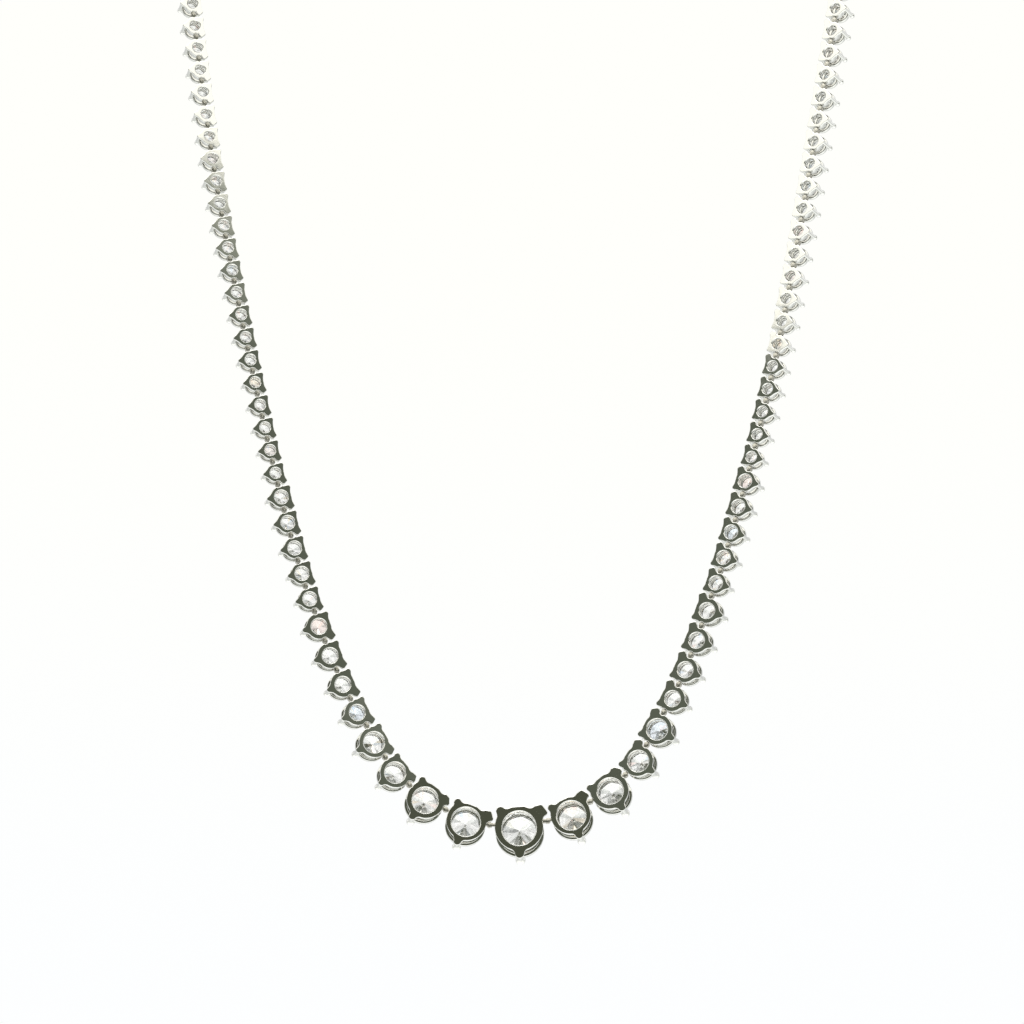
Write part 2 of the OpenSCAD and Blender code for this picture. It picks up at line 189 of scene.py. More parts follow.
# How far inwards the hinges of setting k lie: the one away from the centre, the one towards it,
# and the ones with the fork and with the eye
def outer_rise(k):
    return size(k).rise


def inner_rise(k):
    return size(abs(k) - 1).rise


def fork_rise(k):
    return inner_rise(k) if k > 0 else outer_rise(k)


def eye_rise(k):
    return inner_rise(k) if k < 0 else outer_rise(k)


def hinges(way, arch):
    """The hinges from the centre setting's own to the clasp's, on one side of the loop."""
    start = heading(0, arch)
    points = [along(start) * way * CENTRE.length / 2 + inwards(start) * CENTRE.rise]
    for k, row in enumerate(SIDE, 1):
        angle = heading(way * k, arch)
        step = along(angle) * way * row.length
        points.append(points[-1] + step + inwards(angle) * (outer_rise(k) - inner_rise(k)))
    return points


# The arch at which the two sides end one clasp apart, found by halving
low, high = 110.0, 140.0
for _ in range(20):
    ARCH = (low + high) / 2
    if hinges(1, ARCH)[COUNT][0] - hinges(-1, ARCH)[COUNT][0] > CLASP_LENGTH:
        high = ARCH
    else:
        low = ARCH
ARCH = (low + high) / 2
# The hinges towards +X and towards -X, and the shift that brings them into the frame
PLUS, MINUS = hinges(1, ARCH), hinges(-1, ARCH)
SHIFT = Vector((0, CLASP_HEIGHT / 2)) - (PLUS[COUNT] + MINUS[COUNT]) / 2


def place(k):
    """The matrix that puts setting k, drawn with its back plate at Z = 0, in the chain."""
    if k == 0:
        p = SHIFT
    else:
        points = PLUS if k > 0 else MINUS
        rise = (inner_rise(k) + outer_rise(k)) / 2
        middle = (points[abs(k) - 1] + points[abs(k)]) / 2
        p = SHIFT + middle - inwards(heading(k, ARCH)) * rise
    return (
        Matrix.Translation((p[0], 0, p[1]))
        @ Matrix.Rotation(-math.radians(heading(k, ARCH)), 4, "Y")
        @ Matrix.Rotation(math.radians(90 + lookup(distance(k), LEAN)), 4, "X")
        @ Matrix.Translation((0, 0, -PIN_LEVEL))
    )


def clasp_place():
    """The same for the clasp."""
    span = PLUS[COUNT] - MINUS[COUNT]
    return (
        Matrix.Translation((0, 0, CLASP_HEIGHT / 2))
        @ Matrix.Rotation(math.pi - math.atan2(span[1], span[0]), 4, "Y")
        @ Matrix.Rotation(math.pi / 2, 4, "X")
        @ Matrix.Translation((0, 0, -PIN_LEVEL))
    )


# Measures of a setting, by its plate radius
def prong_radius(r):
    return 0.125 + 0.1 * r


def lobe_radius(r):
    return 0.08 + 0.172 * r


def bead_radius(r):
    return 0.165 + 0.165 * r


def prong_reach(r):
    return r + (1 - PRONG_BITE) * prong_radius(r)


def height(r):
    return HEIGHT_BASE + HEIGHT_RATE * r


def bead_level(r):
    return height(r) - bead_radius(r)


def stone_radius(r):
    return r - PRONG_BITE * prong_radius(r) - STONE_GAP


def girdle_bottom(r):
    """Level of the girdle's lower edge, where its upper edge is just clear of the beads."""
    aside = prong_reach(r) - stone_radius(r)
    level = bead_level(r) - math.sqrt((bead_radius(r) + STONE_GAP) ** 2 - aside ** 2)
    return level - 2 * GIRDLE * stone_radius(r)


def ring_radius(r, direction):
    """The base ring swells to both sides and is cut back to a flat between the inward lobes."""
    way = (direction + 180) % 360 - 180
    a = math.radians(way)
    if PRONGS[1] < way < PRONGS[2]:
        return min(INNER_RING * r, FLAT * r / math.cos(a))
    return r * (RING_SHIFT * math.cos(a) + math.sqrt(RING ** 2 - (RING_SHIFT * math.sin(a)) ** 2))


# Flat outlines
def polar(direction, radius):
    """A point of a setting by its direction from +Y, which is its inner side, towards -X."""
    a = math.radians(direction)
    return Vector((-math.sin(a), math.cos(a))) * radius


def arc(centre, radius, start, end, count):
    """Points round a centre, from one angle to the other."""
    return [
        Vector(centre) + radius * Vector((math.cos(math.radians(a)), math.sin(math.radians(a))))
        for a in (start + (end - start) * i / count for i in range(count + 1))
    ]


def turned(points, direction):
    """The points turned about the middle of the setting."""
    a = math.radians(direction)
    c, s = math.cos(a), math.sin(a)
    return [Vector((c * p.x - s * p.y, s * p.x + c * p.y)) for p in points]


def mirrored(points):
    return [Vector((-p.x, p.y)) for p in reversed(points)]


def inset(outline, d):
    """The outline moved inwards by d."""
    if d == 0:
        return [Vector(p) for p in outline]
    out = []
    n = len(outline)
    for i in range(n):
        before, here, after = outline[i - 1], outline[i], outline[(i + 1) % n]
        e0, e1 = (here - before), (after - here)
        e0 = e0.normalized() if e0.length > 1e-9 else Vector((0, 0))
        e1 = e1.normalized() if e1.length > 1e-9 else Vector((0, 0))
        normal = Vector((e0.y + e1.y, -e0.x - e1.x))
        normal = normal.normalized() if normal.length > 1e-9 else here.normalized()
        out.append(here - normal * d)
    return out


def notches(k):
    """Circles round the neighbours' knuckles that the ring keeps out of."""
    row = size(k)
    middle = Vector((0, RING_SHIFT * row.radius))
    ends = Vector((-row.length / 2, fork_rise(k))), Vector((row.length / 2, eye_rise(k)))
    return [(end, NOTCH) for end in ends if (end - middle).length - RING * row.radius < NOTCH_NEAR]


def kept_out(points, circles):
    """The points, with those inside a circle moved to its edge."""
    for c, reach in circles:
        points = [c + (p - c).normalized() * reach if (p - c).length < reach else p for p in points]
    return points


def flank(ring, reach, tip, fillet, steps):
    """A lobe's hollow side, from the ring to the round end, and the angles where it stops."""
    a, b = ring + fillet, tip + fillet
    y = (a * a - b * b + reach * reach) / (2 * reach)
    x = math.sqrt(a * a - y * y)
    foot = math.degrees(math.atan2(-y, -x)) % 360
    top = math.degrees(math.atan2(reach - y, -x)) % 360
    hollow = arc((x, y), fillet, foot, top, steps)
    return hollow, math.degrees(math.atan2(y - reach, x)), math.degrees(math.atan2(x, y))


def plate_outline(k, fine):
    """The back plate's edge, counter-clockwise: ring, three lobes, the ear, and the notches."""
    r = size(k).radius
    fillet, turn = lookup(r, FILLETS) * r, lookup(r, FEET)
    tip, reach = lobe_radius(r), prong_reach(r)
    outward, trailing, leading = PRONGS
    near_corner, far_corner = EAR_CORNERS

    def hollow_side(direction, reach, tip):
        return flank(ring_radius(r, direction), reach, tip, fillet, 4 * fine)

    def lobe(direction):
        """A lobe's edge, and where the ring ends before it and goes on after it."""
        rise, first, spread = hollow_side(direction - turn, reach, tip)
        fall, last, width = hollow_side(direction + turn, reach, tip)
        points = rise + arc((0, reach), tip, first, 180 - last, 8 * fine)[1:-1] + mirrored(fall)
        return turned(points, direction), direction - spread, direction + width

    def ring(start, end):
        steps = max(2, round((end - start) / (RING_STEP / fine)))
        angles = [start + (end - start) * i / steps for i in range(1, steps)]
        return [polar(a, ring_radius(r, a)) for a in angles]

    def normal(a, b):
        """The direction out of the plate along its edge from a to b."""
        return math.degrees(math.atan2(-(b - a).x, (b - a).y))

    lower, lower_start, lower_end = lobe(outward)
    side, side_start, side_end = lobe(trailing)

    # The third lobe goes over into the ear, whose two corners are as round as a prong
    corner = prong_radius(r)
    ear_reach = size(k).ear_end - corner
    hollow, side_way, spread = hollow_side(leading - turn, reach, tip)
    far_hollow, far_side, far_spread = hollow_side(far_corner + turn, ear_reach, corner)
    prong = polar(leading, reach)
    near, far = polar(near_corner, ear_reach), polar(far_corner, ear_reach)
    lead, out = normal(prong, near), normal(near, far)
    ear = turned(hollow, leading)
    if side_way + leading < lead:
        ear += arc(prong, tip, side_way + leading, lead, 3 * fine)[1:]
    else:
        # The hollow side runs into the ear's straight side before it reaches the round end
        straight = along(lead)
        ear = [p for p in ear if (p - prong).dot(straight) > tip + 0.01]
    ear += arc(near, corner, lead, out, 3 * fine)
    ear += arc(far, corner, out, 180 - far_side + far_corner, 5 * fine)[:-1]
    ear += turned(mirrored(far_hollow), far_corner)

    points = side + ring(side_end, leading - spread)
    points += ear + ring(far_corner + far_spread, lower_start)
    points += lower + ring(lower_end, 360 + side_start)
    return kept_out(points, notches(k))


def ring_like(points, radius, circles=()):
    """The points' directions, in order round the middle, on a circle or on a ring's edge."""
    angles = [math.atan2(p.y, p.x) for p in points]
    steady = [angles[0]]
    for a in angles[1:]:
        while a < steady[-1] - math.pi:
            a += 2 * math.pi
        steady.append(a)
    steady.sort()
    reach = radius if callable(radius) else lambda direction: radius
    around = [Vector((math.cos(a), math.sin(a))) * reach(math.degrees(a) - 90) for a in steady]
    return kept_out(around, circles)


# Solid forms
class Shape:
    """Points and faces in millimetres, with loops joined into skins."""

    def __init__(self):
        self.points = []
        self.faces = []
        self.finishes = []

    def finish(self, kind):
        """The faces added since the last call have this finish."""
        self.finishes += [kind] * (len(self.faces) - len(self.finishes))

    def loop(self, points):
        """Adds points and returns their numbers."""
        start = len(self.points)
        self.points += [Vector(p) for p in points]
        return list(range(start, len(self.points)))

    def skin(self, loops, closed=False):
        """Quads between neighbouring loops of the same count."""
        pairs = list(zip(loops, loops[1:])) + ([(loops[-1], loops[0])] if closed else [])
        for a, b in pairs:
            n = len(a)
            for i in range(n):
                j = (i + 1) % n
                self.faces.append((a[i], a[j], b[j], b[i]))

    def close(self, loops):
        """Flat faces over the first and the last loop."""
        self.faces.append(tuple(reversed(loops[0])))
        self.faces.append(tuple(loops[-1]))

    def lathe(self, profile, count, centre=(0, 0), turn=0.0, closed=True):
        """A profile of (radius, level) turned about an upright axis."""
        loops = []
        for radius, level in profile:
            angles = [2 * math.pi * (i + turn) / count for i in range(count)]
            loops.append(self.loop([
                (centre[0] + radius * math.cos(a), centre[1] + radius * math.sin(a), level)
                for a in angles
            ]))
        self.skin(loops, closed)
        return loops

    def slab(self, outline, bottom, top):
        """An upright slab with rounded edges."""
        edge = HINGE_EDGE
        levels = [(edge * d, bottom + edge * z) for d, z in SOFT_EDGE]
        levels += [(edge * d, top - edge * z) for d, z in reversed(SOFT_EDGE)]
        loops = [self.loop([(*p, z) for p in inset(outline, d)]) for d, z in levels]
        self.skin(loops)
        self.close(loops)


def add_plate(shape, k, fine, tilt):
    """The back plate with its lobes, its hole and the base ring, as one closed skin."""
    hole, r = size(k).hole, size(k).radius
    base = BASE_SHARE * height(r)
    outline = plate_outline(k, fine)
    circles = [(c, reach + FRONT_EDGE) for c, reach in notches(k)]

    def tilted(points, z):
        """A loop of the back, which is a little out of true."""
        lifts = [max(0.0, tilt[0] * p.x + tilt[1] * p.y + tilt[2]) for p in points]
        return shape.loop([(*p, z + lift) for p, lift in zip(points, lifts)])

    def level(points, z):
        return shape.loop([(*p, z) for p in points])

    def ring_edge(less):
        return ring_like(outline, lambda direction: ring_radius(r, direction) - less, circles)

    inner = hole - BEVEL
    loops = [tilted(inset(outline, d), z) for d, z in PLATE_RIM]
    loops += [level(outline, PLATE - FRONT_EDGE), level(inset(outline, FRONT_EDGE), PLATE)]
    loops.append(level(ring_edge(FRONT_EDGE), PLATE))
    for d, z in reversed(CREST_EDGE):
        loops.append(level(ring_edge(FRONT_EDGE + CREST * d), base - CREST * z))
    for d, z in CREST_EDGE:
        loops.append(level(ring_like(outline, inner + CREST * d), base - CREST * z))
    loops += [tilted(ring_like(outline, hole + past), z) for past, z in HOLE_RIM]
    shape.skin(loops, closed=True)
    shape.finish(BRIGHT)


def add_seat_ring(shape, r, count):
    """The ring in which the stone sits, with a conical seat."""
    s = stone_radius(r)
    bottom_of_girdle = girdle_bottom(r)
    inner, outer, soft = SEAT_HOLE * r, GALLERY * r, SEAT_EDGE
    top = bottom_of_girdle - SEAT_DROP
    bottom = top - SEAT_SHARE * height(r)
    foot = bottom_of_girdle - (s + SEAT_CLEAR - inner) * 2 * PAVILION
    lip = s * (1 - (bottom_of_girdle - top) / (2 * PAVILION * s)) + SEAT_CLEAR
    profile = [(inner + soft, bottom)]
    profile += [(outer - soft * d, bottom + soft * z) for d, z in SOFT_EDGE]
    profile += [(outer - soft * d, top - soft * z) for d, z in reversed(SOFT_EDGE)]
    profile += [
        (max(lip, inner + soft), top), (inner, foot), (inner, max(bottom + soft, foot - SEAT_WALL)),
        (inner + 0.3 * soft, bottom + 0.3 * soft),
    ]
    shape.lathe(profile, count)
    shape.finish(BRIGHT)


def add_prong(shape, r, direction, detail):
    """A round post that ends in a bead."""
    centre = polar(direction, prong_reach(r))
    tip, bead, level = prong_radius(r), bead_radius(r), bead_level(r)
    start, end = math.asin(tip / bead), BEAD_END * math.pi
    profile = [(tip, PLATE - PRONG_ROOT), (tip, level - bead * math.cos(start))]
    for i in range(1, detail.bead + 1):
        a = start + (end - start) * i / detail.bead
        profile.append((bead * math.sin(a), level - bead * math.cos(a)))
    shape.close(shape.lathe(profile, detail.prong, centre, turn=0.5, closed=False))
    shape.finish(BRIGHT)


def tongue(half, inner, way, width, rise, count):
    """The outline of a fork's ear or of an eye: a straight neck that ends in a round knuckle."""
    bite = math.degrees(math.asin(width / 2 / KNUCKLE))
    points = [Vector((inner, -width / 2))]
    points += arc((half, 0), KNUCKLE, -180 + bite, 180 - bite, count)
    points.append(Vector((inner, width / 2)))
    if way < 0:
        points = mirrored(points)
    return [p + Vector((0, rise)) for p in points]


def tongue_start(r, rise):
    return math.sqrt(r * r - (rise + KNUCKLE) ** 2) - ROOT


def add_hinges(shape, half, inners, rises, count):
    """The fork with its riveted pin at the end towards -X, and the eye at the end towards +X."""
    fork = tongue(half, inners[0], -1, FORK_WIDTH, rises[0], count)
    reach = EYE / 2 + HINGE_GAP + EAR
    bottom, top = PIN_LEVEL - reach, PIN_LEVEL + reach
    shape.slab(fork, bottom, bottom + EAR)
    shape.slab(fork, top - EAR, top)
    pin = [(share * PIN, bottom - out) for share, out in RIVET]
    pin += [(share * PIN, top + out) for share, out in reversed(RIVET)]
    shape.close(shape.lathe(pin, 8, (-half, rises[0]), closed=False))
    eye = tongue(half, inners[1], 1, EYE_WIDTH, rises[1], count)
    shape.slab(eye, PIN_LEVEL - EYE / 2, PIN_LEVEL + EYE / 2)
    # The hinges take the satin metal, darkened with painted shade
    shape.finish(DULL_PAINTED_SHADE)


def setting_shape(k, detail):
    """One setting: back plate, base ring, seat ring, prongs with beads, fork and eye."""
    shape = Shape()
    r, half = size(k).radius, size(k).length / 2
    rises = (fork_rise(k), eye_rise(k))
    tilt = [random.uniform(-1, 1) * TILT / r for _ in range(2)] + [TILT]
    add_plate(shape, k, detail.edge, tilt)
    add_seat_ring(shape, r, detail.seat)
    for direction in PRONGS:
        add_prong(shape, r, direction, detail)
    add_hinges(shape, half, [tongue_start(r, rise) for rise in rises], rises, detail.knuckle)
    return shape


def clasp_shape():
    """The closed box clasp, with chamfered corners, rounded edges and a seam."""
    shape = Shape()
    half = (PLUS[COUNT] - MINUS[COUNT]).length / 2
    x, y, corner = half - NOTCH, CLASP_HEIGHT / 2, CLASP_CORNER
    corners = [
        (-x, corner - y), (corner - x, -y), (x - corner, -y), (x, corner - y),
        (x, y - corner), (x - corner, y), (corner - x, y), (-x, y - corner),
    ]
    # Each corner is rounded by points on its two sides, at these shares of the rounding's length
    rounded = []
    steps = (1.0, 0.55, 0.2)
    for i, p in enumerate(corners):
        p = Vector(p)
        back = (Vector(corners[i - 1]) - p).normalized() * CLASP_ROUND
        ahead = (Vector(corners[(i + 1) % 8]) - p).normalized() * CLASP_ROUND
        rounded += [p + back * t + ahead * (1 - t) ** 2 / 2 for t in steps]
        rounded += [p + ahead * t + back * (1 - t) ** 2 / 2 for t in reversed(steps)]
    levels = CLASP_RIM + CLASP_SEAM + [(d, CLASP_DEPTH - z) for d, z in reversed(CLASP_RIM)]
    # The first and the last loop, just inside the flat faces' edges, keep their shading flat
    face = [0.95 * p for p in inset(rounded, CLASP_RIM[0][0])]
    loops = [shape.loop([(*p, z) for p in inset(rounded, d)]) for d, z in levels]
    loops.insert(0, shape.loop([(*p, 0) for p in face]))
    loops.append(shape.loop([(*p, CLASP_DEPTH) for p in face]))
    shape.skin(loops)
    shape.close(loops)
    shape.finish(BRIGHT)
    add_hinges(shape, half, (x - ROOT, x - ROOT), (0, 0), 12)
    return shape


def stone_shape(r):
    """A round brilliant of radius r: 57 flat facets and a faceted girdle, its culet at Z = 0."""
    shape = Shape()
    bottom = 2 * PAVILION * r
    top = bottom + 2 * GIRDLE * r
    table = top + 2 * CROWN * r
    half = math.cos(math.radians(22.5))

    def ring(radius, level, turn, count=8):
        angles = [math.radians(360 / count * (i + turn)) for i in range(count)]
        return shape.loop([(radius * math.cos(a), radius * math.sin(a), level) for a in angles])

    star_level = top + (table - top) * (r - STARS * r * half) / (r - TABLE * r)
    lower_level = bottom * LOWERS * half
    tables = ring(TABLE * r, table, 0)
    stars = ring(STARS * r, star_level, 0.5)
    upper = ring(r, top, 0, 16)
    lower = ring(r, bottom, 0, 16)
    deep = ring(LOWERS * r, lower_level, 0.5)
    culet = shape.loop([(0, 0, 0)])[0]
    faces = shape.faces
    faces.append(tuple(tables))
    for i in range(8):
        j = (i + 1) % 8
        faces.append((tables[i], stars[i], tables[j]))
        faces.append((tables[i], stars[i - 1], upper[2 * i], stars[i]))
        faces.append((stars[i], upper[2 * i], upper[2 * i + 1]))
        faces.append((stars[i], upper[2 * i + 1], upper[(2 * i + 2) % 16]))
        faces.append((lower[2 * i], deep[i], lower[2 * i + 1]))
        faces.append((lower[2 * i + 1], deep[i], lower[(2 * i + 2) % 16]))
        faces.append((lower[2 * i], deep[i - 1], culet, deep[i]))
    for i in range(16):
        j = (i + 1) % 16
        faces.append((upper[i], lower[i], lower[j], upper[j]))
    shape.finish(CLEAR)
    return shape


STONES = {row: stone_shape(stone_radius(row.radius)) for row in [CENTRE] + SIZES}


def stone_place(k):
    """The matrix that puts a stone in setting k, turned by chance."""
    r = size(k).radius
    level = girdle_bottom(r) - 2 * PAVILION * stone_radius(r)
    spin = Matrix.Rotation(random.uniform(0, 2 * math.pi), 4, "Z")
    return place(k) @ Matrix.Translation((0, 0, level)) @ spin


def add_object(name, data):
    made = bpy.data.objects.new(name, data)
    bpy.context.scene.collection.objects.link(made)
    return made


def build(name, placed, materials, smooth, node, painted_tints=None):
    """One object from several shapes, each in its place, that stands for a node."""
    points, faces, finishes = [], [], []
    for shape, matrix in placed:
        start = len(points)
        points += [(matrix @ p) * MM for p in shape.points]
        faces += [tuple(start + i for i in face) for face in shape.faces]
        finishes += shape.finishes
    mesh = bpy.data.meshes.new(name)
    mesh.from_pydata(points, [], faces)
    mesh.update()
    if smooth:
        mesh.shade_smooth()
        mesh.set_sharp_from_angle(angle=math.radians(SHARP_ANGLE))
    else:
        mesh.shade_flat()
    # Painted fire: each facet gets a tint drawn from the list, standing in for dispersed light
    if painted_tints:
        layer = mesh.attributes.new("painted_fire", "FLOAT_COLOR", "CORNER")
        values = []
        for polygon in mesh.polygons:
            values += list(random.choice(painted_tints)) * polygon.loop_total
        layer.data.foreach_set("color", values)
    for material in materials:
        mesh.materials.append(material)
    mesh.polygons.foreach_set("material_index", finishes)
    piece = add_object(name, mesh)
    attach(piece, "root")
    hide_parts(node)


# Shader nodes
def adjust(node, **values):
    """Sets a node's properties and inputs. An input's name has _ for a space."""
    for key, value in values.items():
        if hasattr(node, key):
            setattr(node, key, value)
        else:
            node.inputs[key.replace("_", " ")].default_value = value


def node_of(tree, kind, **values):
    node = tree.nodes.new(kind)
    # Nodes stand in rows of six, in the order in which they are made
    row, column = divmod(len(tree.nodes) - 1, 6)
    node.location = (250 * column, -400 * row)
    adjust(node, **values)
    return node


def ramp(tree, source, band):
    """Rises softly from 0 at the band's first value to 1 at its second."""
    node = node_of(tree, "ShaderNodeMapRange", interpolation_type="SMOOTHSTEP",
                   From_Min=band[0], From_Max=band[1])
    tree.links.new(source, node.inputs["Value"])
    return node.outputs["Result"]


def blend(tree, factor, a, b):
    """The colour a where the factor is 0 and b where it is 1, each a value or a socket."""
    node = node_of(tree, "ShaderNodeMix", data_type="RGBA")
    tree.links.new(factor, node.inputs["Factor"])
    sockets = [socket for socket in node.inputs if socket.type == "RGBA"]
    for socket, value in zip(sockets, (a, b)):
        if isinstance(value, tuple):
            socket.default_value = value
        else:
            tree.links.new(value, socket)
    return [socket for socket in node.outputs if socket.type == "RGBA"][0]


def lowered(tree, level, drop, factor):
    """The level less the drop times the factor."""
    node = node_of(tree, "ShaderNodeMath", operation="MULTIPLY_ADD")
    tree.links.new(factor, node.inputs[0])
    node.inputs[1].default_value = -drop
    tree.links.new(level, node.inputs[2])
    return node.outputs[0]


def material_of(name):
    material = bpy.data.materials.new(name)
    material.use_nodes = True
    return material, material.node_tree, material.node_tree.nodes["Principled BSDF"]


# Materials
def white_gold(name, tone, roughness):
    """Rhodium-plated white gold with faint waves and hairlines from wear."""
    material, tree, shader = material_of(name)
    adjust(shader, Metallic=1.0, Base_Color=tone)
    coordinates = node_of(tree, "ShaderNodeTexCoord")
    wear = node_of(tree, "ShaderNodeTexNoise", Scale=900.0, Detail=4.0)
    hair = node_of(tree, "ShaderNodeTexNoise", Scale=5200.0, Detail=2.0)
    wave = node_of(tree, "ShaderNodeTexNoise", Scale=420.0, Detail=1.0)
    for texture in (wear, hair, wave):
        tree.links.new(coordinates.outputs["Object"], texture.inputs["Vector"])
    rough = node_of(tree, "ShaderNodeMapRange", From_Min=0.35, From_Max=0.75,
                    To_Min=roughness[0], To_Max=roughness[1])
    tree.links.new(wear.outputs["Fac"], rough.inputs["Value"])
    tree.links.new(rough.outputs["Result"], shader.inputs["Roughness"])
    fine = node_of(tree, "ShaderNodeBump", Strength=0.02, Distance=0.00002)
    broad = node_of(tree, "ShaderNodeBump", Strength=0.02, Distance=0.0001)
    tree.links.new(hair.outputs["Fac"], fine.inputs["Height"])
    tree.links.new(wave.outputs["Fac"], broad.inputs["Height"])
    tree.links.new(fine.outputs["Normal"], broad.inputs["Normal"])
    tree.links.new(broad.outputs["Normal"], shader.inputs["Normal"])
    return material


def gemstone(name):
    """A clear, hard stone whose facets carry painted fire: a faint tint from facet to facet that
    stands in for dispersed light.
    """
    material, tree, shader = material_of(name)
    adjust(shader, Transmission_Weight=1.0, IOR=2.2, Roughness=0.0)
    painted_fire_node = node_of(tree, "ShaderNodeAttribute", attribute_name="painted_fire")
    tree.links.new(painted_fire_node.outputs["Color"], shader.inputs["Base Color"])
    return material


def painted_light_floor(name, near, far, band):
    """A matt floor with a painted pool of light, which goes over from one tone to another at a
    distance from its middle, and a faint glow of its own that is painted light too.
    """
    material, tree, shader = material_of(name)
    adjust(shader, Roughness=0.9, Emission_Color=(0.95, 0.985, 1.0, 1), Emission_Strength=0.24)
    coordinates = node_of(tree, "ShaderNodeTexCoord")
    reach = node_of(tree, "ShaderNodeVectorMath", operation="LENGTH")
    tree.links.new(coordinates.outputs["Object"], reach.inputs[0])
    tone = blend(tree, ramp(tree, reach.outputs["Value"], band), near, far)
    tree.links.new(tone, shader.inputs["Base Color"])
    return material


METAL = [
    white_gold("white_gold_polished", (0.84, 0.84, 0.815, 1), (0.02, 0.075)),
    # The satin copy's rougher finish is its own, but its darker, warmer tone is painted shade for
    # the hinges that sit back between the plates
    white_gold("white_gold_satin_painted_shade", (0.58, 0.565, 0.51, 1), (0.24, 0.36)),
]
STONE = [gemstone("brilliant_stone")]
# A facet's tint is drawn from these: most are clear, and a few carry painted fire, colours of
# dispersed light painted into the facet
PAINTED_FIRE_TINTS = [(0.985, 0.985, 0.98, 1)] * 30 + [
    (1.0, 0.86, 0.66, 1), (0.74, 0.85, 1.0, 1), (1.0, 0.78, 0.72, 1), (0.9, 0.79, 0.75, 1),
    (0.88, 0.85, 0.78, 1),
]


def build_settings(tag, links, detail, gold, gem):
    """The settings of one node and the stones of its partner."""
    settings = [(setting_shape(k, detail), place(k)) for k in links]
    build("gold_" + tag, settings, METAL, True, gold)
    stones = [(STONES[size(k)], stone_place(k)) for k in links]
    build("gem_" + tag, stones, STONE, False, gem, PAINTED_FIRE_TINTS)


mains = [("centre", 0)]
for index in range(1, MAIN_LINKS + 1):
    mains += [("a%d" % index, index), ("b%d" % index, -index)]
for tag, k in mains:
    build_settings(tag, [k], FINE, "setting_" + tag, "stone_" + tag)
for tag, way in (("a", 1), ("b", -1)):
    strand = [way * k for k in range(MAIN_LINKS + 1, COUNT + 1)]
    build_settings("strand_" + tag, strand, COARSE, "strand_" + tag, "strand_stones_" + tag)
build("gold_clasp", [(clasp_shape(), clasp_place())], METAL, True, "clasp")

# Floor, below the hanging loop and out of the photograph's picture, with a painted pool of light:
# pale under the necklace and grey farther out, as painted falloff. Metres.
FLOOR_LEVEL, FLOOR_REACH, PAINTED_POOL_BAND = -0.42, 2.4, (0.3, 1.1)
PAINTED_POOL_TONE, PAINTED_FALLOFF_TONE = (0.95, 0.96, 0.955, 1), (0.44, 0.45, 0.445, 1)
floor_mesh = bpy.data.meshes.new("floor")
floor_mesh.from_pydata([
    (FLOOR_REACH * x, FLOOR_REACH * y, FLOOR_LEVEL) for x, y in ((-1, -1), (1, -1), (1, 1), (-1, 1))
], [], [(0, 1, 2, 3)])
floor_mesh.materials.append(painted_light_floor("floor_painted_light_pool", PAINTED_POOL_TONE, PAINTED_FALLOFF_TONE, PAINTED_POOL_BAND))
floor = add_object("floor", floor_mesh)

# World: the camera sees a white room. What the metal and the stones reflect follows the
# photograph's reflections: a dark place behind the camera, on the +Y side, with a bright canopy
# over it, and a pale room beyond the necklace, on the -Y side. A band is where one tone goes over
# into the next. Bands and drops are parts of a direction of length 1, and the clouds' band is of
# the noise's values.
CANOPY_MIDDLE, CANOPY_PLUS = (0.36, 0.25), (0.3, 0.5)
GREY_BAND, GREY_DROP_MIDDLE, GREY_DROP_PLUS = (0.26, 0.345), 0.12, 0.09
WHITE_BAND, WHITE_DROP_MIDDLE, WHITE_DROP_PLUS = (0.352, 0.364), 0.06, 0.009
ASIDE_BAND = (0.12, 0.32)
DARK, DARK_ASIDE = (0.078, 0.084, 0.058, 1), (0.117, 0.13, 0.099, 1)
OLIVE, CANOPY = (0.29, 0.305, 0.25, 1), (1.28, 1.26, 1.15, 1)
UPPER_BAND, LOWER_ROOM, UPPER_ROOM = (0.45, 0.75), (1.1, 1.1, 1.08, 1), (0.92, 0.93, 0.92, 1)
CLOUD_BAND, CLOUD_GREY = (0.53, 0.6), (0.36, 0.37, 0.36, 1)
PATCH_BAND, PATCH_GREY = (-0.6, -0.85), (0.68, 0.69, 0.68, 1)
HALVES_BAND = (-0.1, 0.25)
SEEN_BAND, SEEN_LOW, SEEN_HIGH = (-0.1, 0.3), (0.985, 0.995, 1.0, 1), (1.0, 1.0, 0.965, 1)

world = bpy.data.worlds.new("pale_room")
bpy.context.scene.world = world
world.use_nodes = True
tree = world.node_tree
tree.nodes.clear()
coordinates = node_of(tree, "ShaderNodeTexCoord")
parts = node_of(tree, "ShaderNodeSeparateXYZ")
tree.links.new(coordinates.outputs["Generated"], parts.inputs["Vector"])
x, y, z = (parts.outputs[axis] for axis in "XYZ")
absolute = node_of(tree, "ShaderNodeMath", operation="ABSOLUTE")
tree.links.new(x, absolute.inputs[0])
aside = absolute.outputs[0]

# Behind the camera: nearly black low down, olive grey below the canopy's edge, then white.
# The canopy's edge lies a little higher in the middle and towards +X.
middle, plus = ramp(tree, aside, CANOPY_MIDDLE), ramp(tree, x, CANOPY_PLUS)
grey_level = lowered(tree, lowered(tree, z, GREY_DROP_MIDDLE, middle), GREY_DROP_PLUS, plus)
white_level = lowered(tree, lowered(tree, z, WHITE_DROP_MIDDLE, middle), WHITE_DROP_PLUS, plus)
dark = blend(tree, ramp(tree, aside, ASIDE_BAND), DARK, DARK_ASIDE)
olive = blend(tree, ramp(tree, grey_level, GREY_BAND), dark, OLIVE)
back = blend(tree, ramp(tree, white_level, WHITE_BAND), olive, CANOPY)

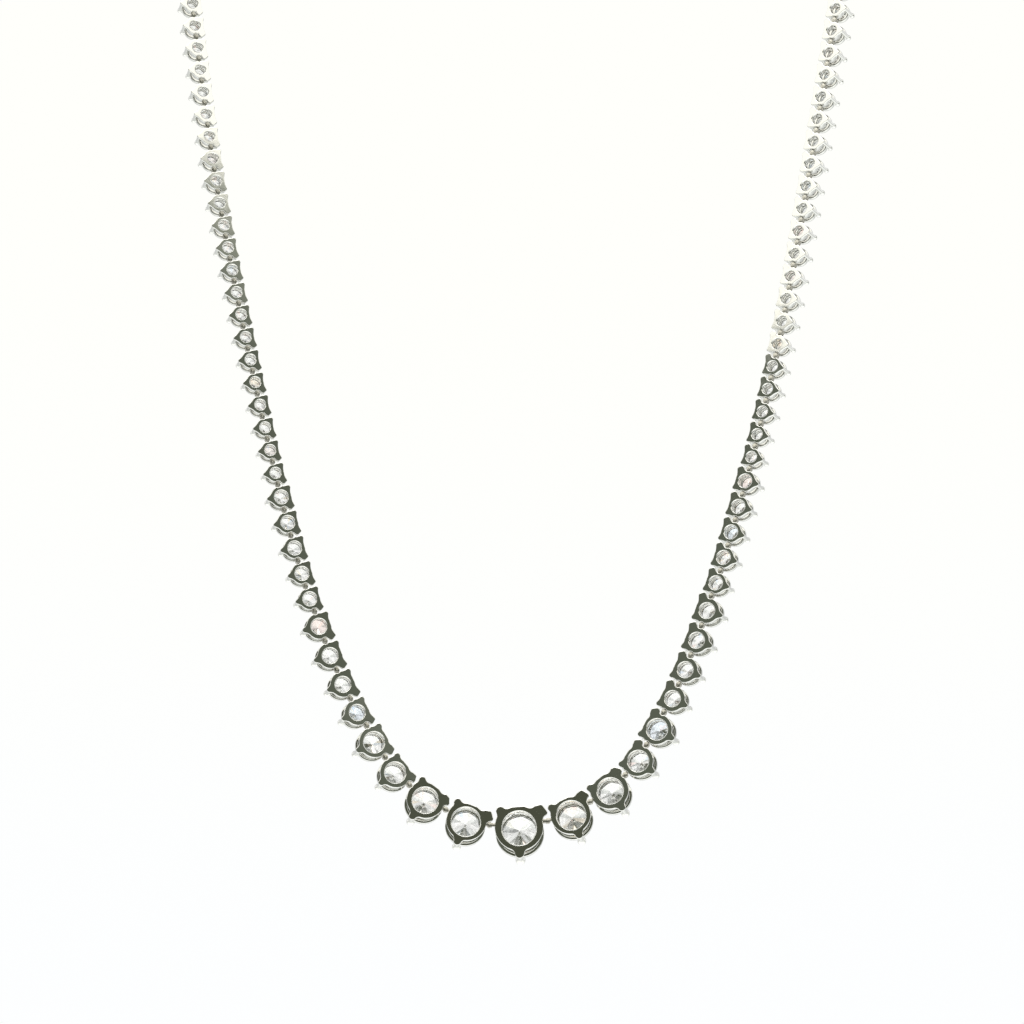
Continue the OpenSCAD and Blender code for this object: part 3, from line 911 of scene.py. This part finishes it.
# Beyond the necklace: bright, less so overhead, with grey clouds and a dimmer patch straight
# behind it
room = blend(tree, ramp(tree, z, UPPER_BAND), LOWER_ROOM, UPPER_ROOM)
cloud = node_of(tree, "ShaderNodeTexNoise", Scale=6.0, Detail=2.0)
tree.links.new(coordinates.outputs["Generated"], cloud.inputs["Vector"])
clouded = blend(tree, ramp(tree, cloud.outputs["Fac"], CLOUD_BAND), room, CLOUD_GREY)
front = blend(tree, ramp(tree, y, PATCH_BAND), clouded, PATCH_GREY)

felt = node_of(tree, "ShaderNodeBackground")
tree.links.new(blend(tree, ramp(tree, y, HALVES_BAND), front, back), felt.inputs["Color"])
seen = node_of(tree, "ShaderNodeBackground")
tree.links.new(blend(tree, ramp(tree, z, SEEN_BAND), SEEN_LOW, SEEN_HIGH), seen.inputs["Color"])
path = node_of(tree, "ShaderNodeLightPath")
choice = node_of(tree, "ShaderNodeMixShader")
tree.links.new(path.outputs["Is Camera Ray"], choice.inputs[0])
tree.links.new(felt.outputs[0], choice.inputs[1])
tree.links.new(seen.outputs[0], choice.inputs[2])
output = node_of(tree, "ShaderNodeOutputWorld")
tree.links.new(choice.outputs[0], output.inputs["Surface"])

# The canopy's light, from above
LIGHT_AT, LIGHT_TARGET = Vector((0.1, 0.25, 1.1)), Vector((0, 0, -0.1))
light = bpy.data.lights.new("canopy_light", "AREA")
light.shape = "RECTANGLE"
light.size = light.size_y = 1.2
light.energy = 9.0
lamp = add_object("canopy_light", light)
lamp.location = LIGHT_AT
lamp.rotation_mode = "QUATERNION"
lamp.rotation_quaternion = (LIGHT_TARGET - LIGHT_AT).to_track_quat("-Z", "Y")

# Camera, fitted to the photograph together with the chain. It looks at a point above the centre
# setting. Its focal length is in pixels of the photograph, the other lengths in millimetres.
PITCH, YAW, ROLL = math.radians(7.548), math.radians(-1.013), math.radians(-0.154)
AIM_X, AIM_Z, AIM_DISTANCE = 1.028, 40.718, 298.34
FOCAL, PHOTO_WIDTH, SENSOR = 2300, 1024, 36.0
forward = Vector((
    -math.cos(PITCH) * math.sin(YAW), -math.cos(PITCH) * math.cos(YAW), math.sin(PITCH),
))
across = Vector((-math.cos(YAW), math.sin(YAW), 0))
upward = across.cross(forward)
across, upward = (
    across * math.cos(ROLL) - upward * math.sin(ROLL),
    across * math.sin(ROLL) + upward * math.cos(ROLL),
)
camera_data = bpy.data.cameras.new("camera")
camera_data.sensor_fit = "HORIZONTAL"
camera_data.sensor_width = SENSOR
camera_data.lens = SENSOR * FOCAL / PHOTO_WIDTH
camera_data.clip_start, camera_data.clip_end = 0.005, 30.0
camera = add_object("camera", camera_data)
aim = Vector((SHIFT[0] + AIM_X, 0, SHIFT[1] + AIM_Z)) * MM
turn = Matrix((across, upward, -forward)).transposed().to_4x4()
camera.matrix_world = Matrix.Translation(aim - forward * AIM_DISTANCE * MM) @ turn
bpy.context.scene.camera = camera
bpy.context.scene.view_settings.view_transform = "Standard"
